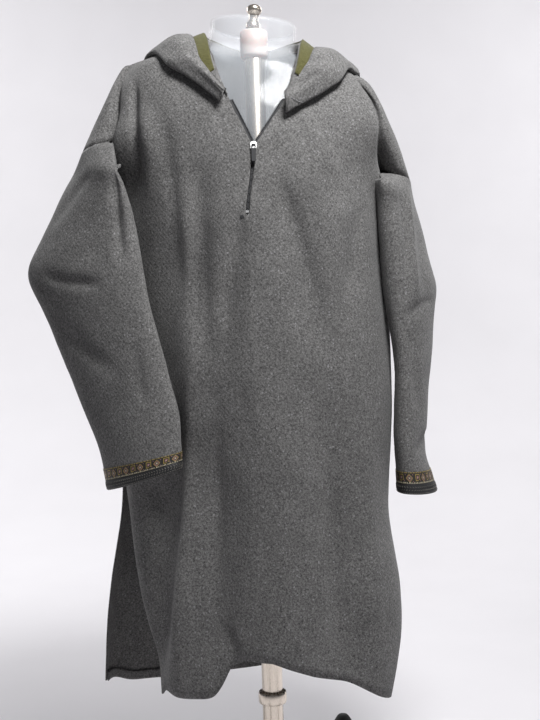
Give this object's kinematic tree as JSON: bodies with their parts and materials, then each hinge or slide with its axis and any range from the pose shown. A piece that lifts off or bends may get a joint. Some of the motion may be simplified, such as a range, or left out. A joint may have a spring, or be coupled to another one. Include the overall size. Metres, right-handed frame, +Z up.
{
  "type": "pheran on dress form with stand",
  "caption": "Hooded grey tweed pheran with a quarter zip and braided cuffs, worn by a clear limbless torso form on a chrome pole stand.",
  "frame": {"origin": "on the floor, at the middle of the stand's hub, on the pole's axis", "axes": "+Z up along the pole, -Y to the garment's front, +X to the right of someone who faces the front"},
  "size_m": [0.6491, 0.5368, 1.284],
  "materials": {
    "tweed": "heathered grey wool tweed, soft nap, matte",
    "fleece": "olive fleece, matte",
    "black_zip": "black woven tape and moulded teeth",
    "gilt_border": "woven border with dull gilt thread",
    "dark_braid": "dark braid, matte",
    "silver_metal": "plated metal, polished",
    "clear_plastic": "clear moulded plastic",
    "pink_plastic": "translucent pinkish plastic",
    "chrome": "chrome plated tube",
    "rubber": "black rubber, matte"
  },
  "bodies": {
    "garment": {"back": "tweed", "back_hem": "tweed", "base_hub": "chrome", "cuff_braid_left": "dark_braid", "cuff_braid_right": "dark_braid", "cuff_gilt_left": "gilt_border", "cuff_gilt_right": "gilt_border", "foot_back_left": "rubber", "foot_back_right": "rubber", "foot_front_left": "rubber", "foot_front_right": "rubber", "form": "clear_plastic", "front": "tweed", "hood_left": "tweed", "hood_lining_left": "fleece", "hood_lining_right": "fleece", "hood_right": "tweed", "leg_back_left": "chrome", "leg_back_right": "chrome", "leg_front_left": "chrome", "leg_front_right": "chrome", "neck_bush": "pink_plastic", "neck_knob": "chrome", "neck_plate": "clear_plastic", "pole": "chrome", "pole_collar": "chrome", "sleeve_left": "tweed", "sleeve_right": "tweed", "zip_chain": "black_zip", "zip_slider": "silver_metal", "zip_stop": "silver_metal", "zip_tape_left": "black_zip", "zip_tape_right": "black_zip"},
    "zip_pull_tab": {"zip_pull": "black_zip"}
  },
  "joints": [
    {"name": "zip_pull_lift", "type": "hinge", "parent": "garment", "child": "zip_pull_tab", "pos_m": [-0.00401, -0.12156, 1.03448], "axis": [-1, 0, 0], "range_deg": [0, 150]}
  ]
}
